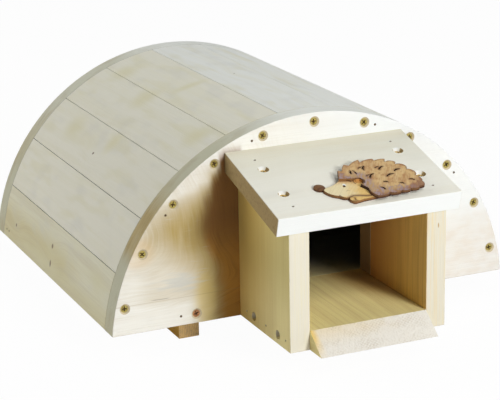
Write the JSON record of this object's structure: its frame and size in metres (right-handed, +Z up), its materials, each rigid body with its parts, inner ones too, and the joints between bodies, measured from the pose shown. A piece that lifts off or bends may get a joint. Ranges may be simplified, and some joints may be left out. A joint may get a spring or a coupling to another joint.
{
  "type": "hedgehog house",
  "caption": "Barrel-roofed wooden hedgehog house on runners, with a square entrance porch, a sloping lid and a ramped porch floor.",
  "frame": {"origin": "on the ground, under the middle of the house's overall width and length", "axes": "+Z up, +Y from the porch to the back, +X to the right as seen from the porch side"},
  "size_m": [0.42, 0.503, 0.212],
  "materials": {
    "panel_wood": "untreated, fine sawn, matt",
    "roof_wood": "untreated, fine sawn, matt",
    "floor_wood": "untreated, fine sawn, matt",
    "porch_wood": "untreated, fine sawn, matt",
    "runner_wood": "untreated, fine sawn, matt",
    "figure_light_wood": "thin board, edges burnt by the cutter",
    "figure_dark_wood": "thin stained board, edges burnt by the cutter",
    "nose_wood": "stained, smooth",
    "screw_brass": "yellow-plated countersunk screws",
    "brad_steel": "dull, dark"
  },
  "bodies": {
    "root": {"front_panel": "panel_wood", "back_panel": "panel_wood", "roof_slat_01": "roof_wood", "roof_slat_02": "roof_wood", "roof_slat_03": "roof_wood", "roof_slat_04": "roof_wood", "roof_slat_05": "roof_wood", "roof_slat_06": "roof_wood", "roof_slat_07": "roof_wood", "roof_slat_08": "roof_wood", "roof_slat_09": "roof_wood", "roof_slat_10": "roof_wood", "roof_slat_11": "roof_wood", "chamber_floor_front": "floor_wood", "chamber_floor_middle": "floor_wood", "chamber_floor_back": "floor_wood", "porch_floor": "floor_wood", "porch_left_wall": "porch_wood", "porch_right_wall": "porch_wood", "porch_lid": "porch_wood", "runner_left": "runner_wood", "runner_right": "runner_wood", "figure_body": "figure_light_wood", "figure_coat": "figure_dark_wood", "figure_nose": "nose_wood", "front_arch_screws": "screw_brass", "back_arch_screws": "screw_brass", "front_floor_screws": "screw_brass", "back_floor_screws": "screw_brass", "lid_screws": "screw_brass", "porch_wall_screws": "screw_brass", "porch_fixing_screws": "screw_brass", "runner_screws": "screw_brass", "front_brads": "brad_steel", "back_brads": "brad_steel", "lid_brads": "brad_steel", "porch_wall_brads": "brad_steel", "slat_foot_brads": "brad_steel"}
  },
  "joints": []
}
